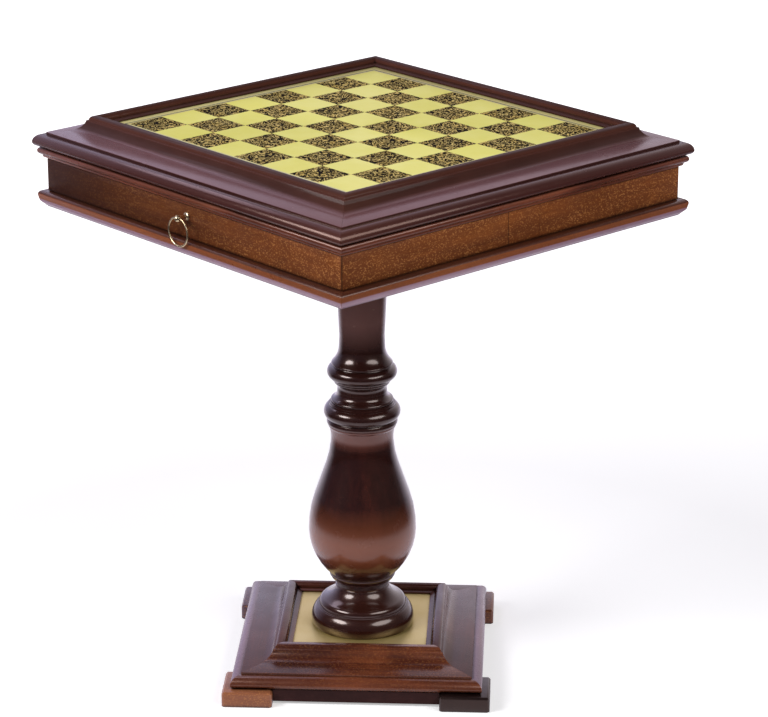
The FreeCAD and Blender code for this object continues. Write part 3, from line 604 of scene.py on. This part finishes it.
def smooth_by_angle(name, limit):
    """Geometry nodes that drop the stored normals and shade smooth across edges under an angle."""
    group = bpy.data.node_groups.new(name, "GeometryNodeTree")
    for way in ("INPUT", "OUTPUT"):
        group.interface.new_socket("Geometry", in_out=way, socket_type="NodeSocketGeometry")
    make = group.nodes.new
    source = make("NodeGroupInput")
    drain = make("NodeGroupOutput")
    drop = make("GeometryNodeRemoveAttribute")
    drop.inputs["Name"].default_value = "custom_normal"
    faces = make("GeometryNodeSetShadeSmooth")
    faces.domain = "FACE"
    edges = make("GeometryNodeSetShadeSmooth")
    edges.domain = "EDGE"
    angle = make("GeometryNodeInputMeshEdgeAngle")
    under = make("FunctionNodeCompare")
    under.operation = "LESS_THAN"
    under.inputs[1].default_value = limit
    link = group.links.new
    link(source.outputs[0], drop.inputs[0])
    link(drop.outputs[0], faces.inputs["Geometry"])
    link(faces.outputs[0], edges.inputs["Geometry"])
    link(angle.outputs["Unsigned Angle"], under.inputs[0])
    link(under.outputs[0], edges.inputs["Shade Smooth"])
    link(edges.outputs[0], drain.inputs[0])
    return group


def finish_edges(piece, width, segments, least, smoothing):
    """Small rounds on a piece's hard edges, and smooth shading on its curves."""
    weld = piece.modifiers.new("weld", "WELD")
    weld.merge_threshold = WELD
    if width:
        bevel = piece.modifiers.new("arris", "BEVEL")
        bevel.width = width
        bevel.segments = segments
        bevel.limit_method = "ANGLE"
        bevel.angle_limit = least
    smooth = piece.modifiers.new("smooth", "NODES")
    smooth.node_group = smoothing


# ---------------------------------------------------------------- turned pieces

TURN_STEPS = 144
FINE_TURN = math.radians(9)
POLE_WELD = 1e-7

# Reading a section from a CAD node: points nearer than this are one, a ring of the outside has at
# least so many points, a smaller bend is none, and cuts of one length without a corner are an arc
SAME_SPOT = 3e-5
RING_POINTS = 8
STRAIGHT = math.radians(0.5)
SAME_LENGTH = 0.03
CORNER = math.radians(62)


def section_rings(node, origin, axis):
    """The rings of points of a turned CAD node as (radius, height), and which rings are joined."""
    mesh = nodes[node].data
    rings = []
    ring_of = []
    for vertex in mesh.vertices:
        out = vertex.co - origin
        height = out.dot(axis)
        spot = ((out - axis * height).length, height)
        found = next((i for i, ring in enumerate(rings) if math.dist(spot, ring) < SAME_SPOT), None)
        if found is None:
            found = len(rings)
            rings.append(spot)
        ring_of.append(found)
    counts = np.bincount(ring_of)
    near = {index: set() for index in range(len(rings))}
    for edge in mesh.edges:
        a, b = (ring_of[v] for v in edge.vertices)
        if a != b and min(counts[a], counts[b]) >= RING_POINTS:
            near[a].add(b)
            near[b].add(a)
    return rings, near


def turned_section(node, origin, axis):
    """The outer section of a turned CAD node from foot to top, with no point along a line."""
    rings, near = section_rings(node, origin, axis)
    joined = (ring for ring in near if near[ring])
    walk = [min(joined, key=lambda ring: (rings[ring][1], rings[ring][0]))]
    while True:
        ways = [ring for ring in near[walk[-1]] if ring not in walk]
        if not ways:
            break
        outwards = max(ways, key=lambda ring: rings[ring][0])
        walk.append(outwards if len(walk) == 1 else ways[0])
    points = [Vector(rings[ring]) for ring in walk]
    return [p for a, p, b in zip([None, *points[:-1]], points, [*points[1:], None])
            if a is None or b is None or (p - a).angle(b - p) > STRAIGHT]


def arc_centre(a, b, c):
    """The centre of the circle through three points of a plane."""
    d = 2 * (a.x * (b.y - c.y) + b.x * (c.y - a.y) + c.x * (a.y - b.y))
    aa, bb, cc = a.length_squared, b.length_squared, c.length_squared
    x = (aa * (b.y - c.y) + bb * (c.y - a.y) + cc * (a.y - b.y)) / d
    y = (aa * (c.x - b.x) + bb * (a.x - c.x) + cc * (b.x - a.x)) / d
    return Vector((x, y))


def with_fine_arcs(points):
    """The section with each run of equal cuts made into a finer arc."""
    cuts = [b - a for a, b in zip(points, points[1:])]
    bends = [a.angle(b) for a, b in zip(cuts, cuts[1:])]
    fine = [points[0]]
    start = 0
    while start < len(cuts):
        end = start
        while (end + 1 < len(cuts) and bends[end] < CORNER
               and abs(cuts[end + 1].length / cuts[start].length - 1) < SAME_LENGTH):
            end += 1
        if end > start:
            centre = arc_centre(points[start], points[start + 1], points[end + 1])
            arm = points[start] - centre
            sweep = sum(bends[start:end]) * (end - start + 1) / (end - start)
            way = 1 if arm.x * cuts[start].y > arm.y * cuts[start].x else -1
            count = math.ceil(sweep / FINE_TURN)
            for step in range(1, count):
                turn = way * sweep * step / count
                turned = Vector((arm.x * math.cos(turn) - arm.y * math.sin(turn),
                                 arm.x * math.sin(turn) + arm.y * math.cos(turn)))
                fine.append(centre + turned)
        fine.append(points[end + 1])
        start = end + 1
    return fine


def split_at_ball(points, top, radius):
    """The section up to a ball at its end, and the ball as an arc, without the CAD one's bores."""
    centre = Vector((0, top - radius))
    neck = [point for point in points
            if point.y < centre.y and (point - centre).length > radius + SAME_SPOT]
    start = math.asin(neck[-1].x / radius)
    count = math.ceil((math.pi - start) / FINE_TURN)
    angles = [start + (math.pi - start) * step / count for step in range(count + 1)]
    return neck, [centre + Vector((math.sin(a), -math.cos(a))) * radius for a in angles]


def turned_piece(node, body, origin, axis, material, ball=0.0):
    """A finely turned piece in the place of a CAD node that has coarser curves."""
    section = turned_section(node, origin, axis)
    end = []
    if ball:
        top = max((vertex.co - origin).dot(axis) for vertex in nodes[node].data.vertices)
        section, end = split_at_ball(section, top, ball)
    section = with_fine_arcs(section) + end
    across = axis.orthogonal().normalized()
    aside = axis.cross(across)
    turns = [2 * math.pi * step / TURN_STEPS for step in range(TURN_STEPS)]
    build = bmesh.new()
    rows = []
    for radius, height in section:
        middle = origin + axis * height
        rows.append([build.verts.new(middle + (across * math.cos(t) + aside * math.sin(t)) * radius)
                     for t in turns])
    for low, high in zip(rows, rows[1:]):
        for step in range(TURN_STEPS):
            after = (step + 1) % TURN_STEPS
            build.faces.new((low[step], low[after], high[after], high[step]))
    bmesh.ops.remove_doubles(build, verts=build.verts, dist=POLE_WELD)
    bmesh.ops.recalc_face_normals(build, faces=build.faces)
    mesh = bpy.data.meshes.new(f"{node}_turning")
    build.to_mesh(mesh)
    build.free()
    mesh.materials.append(material)
    piece = add_object(f"{node}_turning", mesh)
    finish_edges(piece, TURNED_ROUND, *TURNED_EDGES, SMOOTH_TURNING)
    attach(piece, body)
    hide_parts(node)
    return piece


# ---------------------------------------------------------------- pulls

RING_WIRE_R = 0.00115
RING_STEPS = 72
RING_ROUNDNESS = 7
BALL_R = 0.0043


def drop_ring(label, material):
    """The drop ring as round wire. Its ends stop at the skin of the ball that they turn in."""
    low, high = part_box(f"pull_ring_{label}")
    radius = (high.x - low.x) / 2 - RING_WIRE_R
    middle = Vector((0, (low.y + high.y) / 2, low.z + radius + RING_WIRE_R))
    pin_height = high.z - RING_WIRE_R
    opening = math.acos((pin_height - middle.z) / radius)
    line = bpy.data.curves.new(f"drop_ring_{label}", "CURVE")
    line.dimensions = "3D"
    line.bevel_depth = RING_WIRE_R
    line.bevel_resolution = RING_ROUNDNESS
    line.use_fill_caps = True
    sweep = 2 * (math.pi - opening)
    angles = [opening + sweep * step / RING_STEPS for step in range(RING_STEPS + 1)]
    points = [middle + Vector((math.sin(a), 0, math.cos(a))) * radius for a in angles]
    ends = [Vector((side * BALL_R, middle.y, pin_height)) for side in (1, -1)]
    points = [ends[0], *points, ends[1]]
    spline = line.splines.new("POLY")
    spline.points.add(len(points) - 1)
    for point, place in zip(spline.points, points):
        point.co = (*place, 1)
    spline.use_smooth = True
    line.materials.append(material)
    piece = add_object(f"drop_ring_{label}", line)
    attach(piece, f"ring_{label}")
    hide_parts(f"pull_ring_{label}")


def pull(label, way, material):
    """A pull, whose post stands on the drawer's face."""
    pin_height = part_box(f"pull_ring_{label}")[1].z - RING_WIRE_R
    low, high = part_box(f"drawer_face_{label}")
    front = low.y if way < 0 else high.y
    post = turned_piece(f"pull_post_{label}", f"drawer_{label}", Vector((0, front, pin_height)),
                        Vector((0, way, 0)), material, BALL_R)
    drop_ring(label, material)


# ---------------------------------------------------------------- looks of the pieces


def tones(dark, middle, light):
    return {"dark": rgb(*dark), "middle": rgb(*middle), "light": rgb(*light)}


FRAME_TONES = tones((50, 23, 18), (70, 33, 26), (90, 44, 33))
BEAD_TONES = tones((60, 26, 16), (104, 52, 35), (140, 80, 54))
MOULD_TONES = tones((62, 26, 14), (100, 48, 26), (136, 74, 40))
BASE_TONES = tones((38, 16, 13), (68, 32, 25), (96, 48, 35))
# The front base rail: a lighter, more contrasted copy of the base wood, as painted light
BASE_FRONT_LIT_TONES = tones((36, 14, 11), (84, 39, 26), (146, 80, 48))
TURNED_TONES = tones((27, 10, 8), (46, 18, 14), (67, 29, 22))
VENEER_TONES = tones((84, 41, 18), (114, 60, 27), (146, 83, 38))
# Base panel, mount plate and case floor: darker, violet tones in painted shade
UNDER_TONES = tones((34, 16, 18), (46, 24, 25), (60, 33, 33))
# One wood in copies of painted light: lit in front, in shade on the right, a lavender reflection on
# the left
FOOT_PAINTED_LIGHT_TONES = {
    "front": tones((128, 74, 48), (170, 108, 74), (200, 138, 98)),
    "right": tones((14, 8, 8), (25, 15, 15), (38, 24, 23)),
    "back": tones((78, 42, 30), (108, 62, 44), (136, 84, 60)),
    "left": tones((74, 58, 68), (104, 86, 102), (128, 108, 124)),
}

# Bands of colour by place, each (axis, start, full, colour, depth); most of them are painted light.
# Column: paler on the low belly, the throat and the stem, partly a shaded lacquer and partly
# painted reflection of the floor and the plate, with the dark tone coming back between them.
COLUMN_PAINTED_LIGHT = (
    (Z, 0.224, 0.174, rgb(128, 70, 45), 0.9),
    (Z, 0.16, 0.125, rgb(48, 22, 16), 1.0),
    (Z, 0.29, 0.303, rgb(104, 58, 48), 0.75),
    (Z, 0.317, 0.322, rgb(36, 15, 12), 0.95),
    (Z, 0.42, 0.455, rgb(116, 80, 75), 0.75),
)
# Top moulding, painted by height: a paler slope that is a painted reflection, a darker nose below
# it, and above it the hollow in painted shade, the redder side and the crest of the ridge darkened
# as a painted shade. From the hollow up it is matt.
TOP_PAINTED_LIGHT = (
    (Z, 0.695, 0.6912, rgb(136, 98, 104), 0.55),
    (Z, 0.6886, 0.688, rgb(60, 28, 22), 0.9),
    (Z, 0.6922, 0.6955, rgb(48, 22, 18), 0.6),
    (Z, 0.7025, 0.7045, rgb(82, 40, 28), 0.6),
    (Z, 0.7072, 0.7086, rgb(50, 22, 16), 0.7),
)
TOP_MATT = (0.6922, 0.695, 0.0, 0.6)
# Browner towards the corner between the front and the right side: a painted shade over the slope's
# painted reflection
NEAR_CORNER_PAINTED_SHADE = {
    "front": ((X, 0.15, 0.27, rgb(98, 58, 46), 0.3),),
    "right": ((Y, -0.15, -0.27, rgb(98, 58, 46), 0.3),),
}
# Bottom moulding of the case, painted by height: a dark ledge, an orange bevel, a pale slope that
# is a painted reflection of the floor, and a dark underside in painted shade
MOULD_PAINTED_LIGHT = (
    (Z, 0.6108, 0.6118, rgb(56, 27, 19), 0.7),
    (Z, 0.6114, 0.6104, rgb(150, 84, 46), 0.55),
    (Z, 0.605, 0.6036, rgb(156, 132, 158), 0.68),
    (Z, 0.5954, 0.5949, rgb(58, 38, 48), 0.8),
)
# Paler nose of the base moulding: at the front a redder tone of wear and painted highlight, on the
# other sides a painted lavender reflection
FRONT_NOSE_WEAR_AND_HIGHLIGHT = ((Z, 0.037, 0.0345, rgb(124, 68, 46), 0.35),)
SIDE_NOSE_PAINTED_REFLECTION = ((Z, 0.037, 0.0345, rgb(172, 148, 170), 0.5),)
# Front veneer: darker towards the left end
FRONT_DARKER_TO_LEFT = ((X, 0.16, -0.22, rgb(36, 14, 9), 0.88),)

# Seams of the veneer, each (axis, place, half width, depth). One is the joint at the near corner.
JOINT_AT = 0.2716
FRONT_SEAMS = ((X, -0.117, 0.0006, 0.5), (X, JOINT_AT, 0.0014, 0.9))
SIDE_SEAMS = ((Y, -0.016, 0.0012, 0.85), (Y, 0.035, 0.0008, 0.4), (Y, -JOINT_AT, 0.0014, 0.9))

TURNED = ("pedestal_collar", "pedestal_vase", "pedestal_shaft")
PLAIN = ("drawer_sides", "drawer_back", "drawer_bottom", "drawer_runners", "drawer_guides",
         "base_backing", "base_block", "case_dividers", "sub_top", "board_core", "board_battens")


def dress(names, material):
    """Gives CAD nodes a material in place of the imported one."""
    for name in names:
        piece = nodes[name]
        for slot in piece.material_slots:
            slot.material = material
        if not piece.material_slots:
            piece.data.materials.append(material)


def dress_mouldings(side, turn):
    """The pieces that go round the table, on one side. The feet stand at its corners."""
    front = side == "front"
    top = wood(f"frame_{side}", turn=turn, gloss=0.22, coat=0.12, warmth=0.4, matt=TOP_MATT,
               shaded=TOP_PAINTED_LIGHT + NEAR_CORNER_PAINTED_SHADE.get(side, ()), **FRAME_TONES)
    dress([f"top_rail_{side}"], top)
    dress([f"bead_{side}"], wood(f"bead_{side}", turn=turn, gloss=0.3, **BEAD_TONES))
    mould = wood(f"moulding_{side}", turn=turn, gloss=0.34, flecks=0.2, shaded=MOULD_PAINTED_LIGHT,
                 **MOULD_TONES)
    dress([f"foot_mould_{side}"], mould)
    turn += math.radians(45)
    base = wood(f"base_{side}", turn=turn, gloss=0.27, flecks=0.14 if front else 0.0,
                shaded=FRONT_NOSE_WEAR_AND_HIGHLIGHT if front else SIDE_NOSE_PAINTED_REFLECTION,
                **(BASE_FRONT_LIT_TONES if front else BASE_TONES))
    dress([f"base_rail_{side}"], base)
    foot = wood(f"foot_{side}", turn=turn, gloss=0.36, flecks=0.0 if side == "right" else 0.45,
                **FOOT_PAINTED_LIGHT_TONES[side])
    dress([f"foot_{side}"], foot)


def dress_wood():
    for index, side in enumerate(SIDES):
        dress_mouldings(side, math.radians(90 * index))
    turned = wood("turned", upright=True, gloss=0.23, coat=0.85, warmth=0.35,
                  shaded=COLUMN_PAINTED_LIGHT, **TURNED_TONES)
    for node in TURNED:
        piece = turned_piece(node, "table", ORIGIN, UPRIGHT, turned)
    lacquer = {"flecks": 0.55, "gloss": 0.42, "coat": 0.07, "warmth": 0.3}
    front = wood("veneer_front", shaded=FRONT_DARKER_TO_LEFT, seams=FRONT_SEAMS, **lacquer, **VENEER_TONES)
    right = wood("veneer_right", turn=math.pi / 2, seams=SIDE_SEAMS, **lacquer, **VENEER_TONES)
    dress(["drawer_face_front", "drawer_face_rear"], front)
    dress(["apron_right", "apron_left"], right)
    under = wood("under", gloss=0.45, coat=0.04, warmth=0.2, **UNDER_TONES)
    dress(["base_panel", "mount_plate", "case_floor"], under)
    dress([node for node in nodes if node.startswith(PLAIN)], plain_wood("inner_wood"))


def dress_metal():
    dress(["light_squares"], plate_metal("light_plate", *SQUARES))
    dress(["dark_squares"], curl_metal("dark_plate"))
    dress(["board_border"], plate_metal("border_brass", *BORDER))
    dress(["base_plate"], plate_metal("plate_brass", *BASE_PLATE))
    dress(["board_line"], black_inlay("line_black"))
    brass = polished_brass("pull_brass")
    for label, way in (("front", -1), ("rear", 1)):
        pull(label, way, brass)
        dress([f"drawer_lining_{label}"], felt(f"lining_{label}"))
    dress(["threaded_rod", "rod_nuts", "rod_washers", "wood_screws"], steel("steel"))


bpy.context.scene.view_settings.view_transform = "Standard"
camera()
studio()
floor()
SMOOTH = smooth_by_angle("smooth_by_angle", CAD_SMOOTH_UNDER)
SMOOTH_TURNING = smooth_by_angle("smooth_turning", TURNED_SMOOTH_UNDER)
dress_wood()
dress_metal()
for node, piece in nodes.items():
    width = next((w for start, w in EDGE_ROUNDS.items() if node.startswith(start)), 0.0)
    finish_edges(piece, width, *CAD_EDGES, SMOOTH)
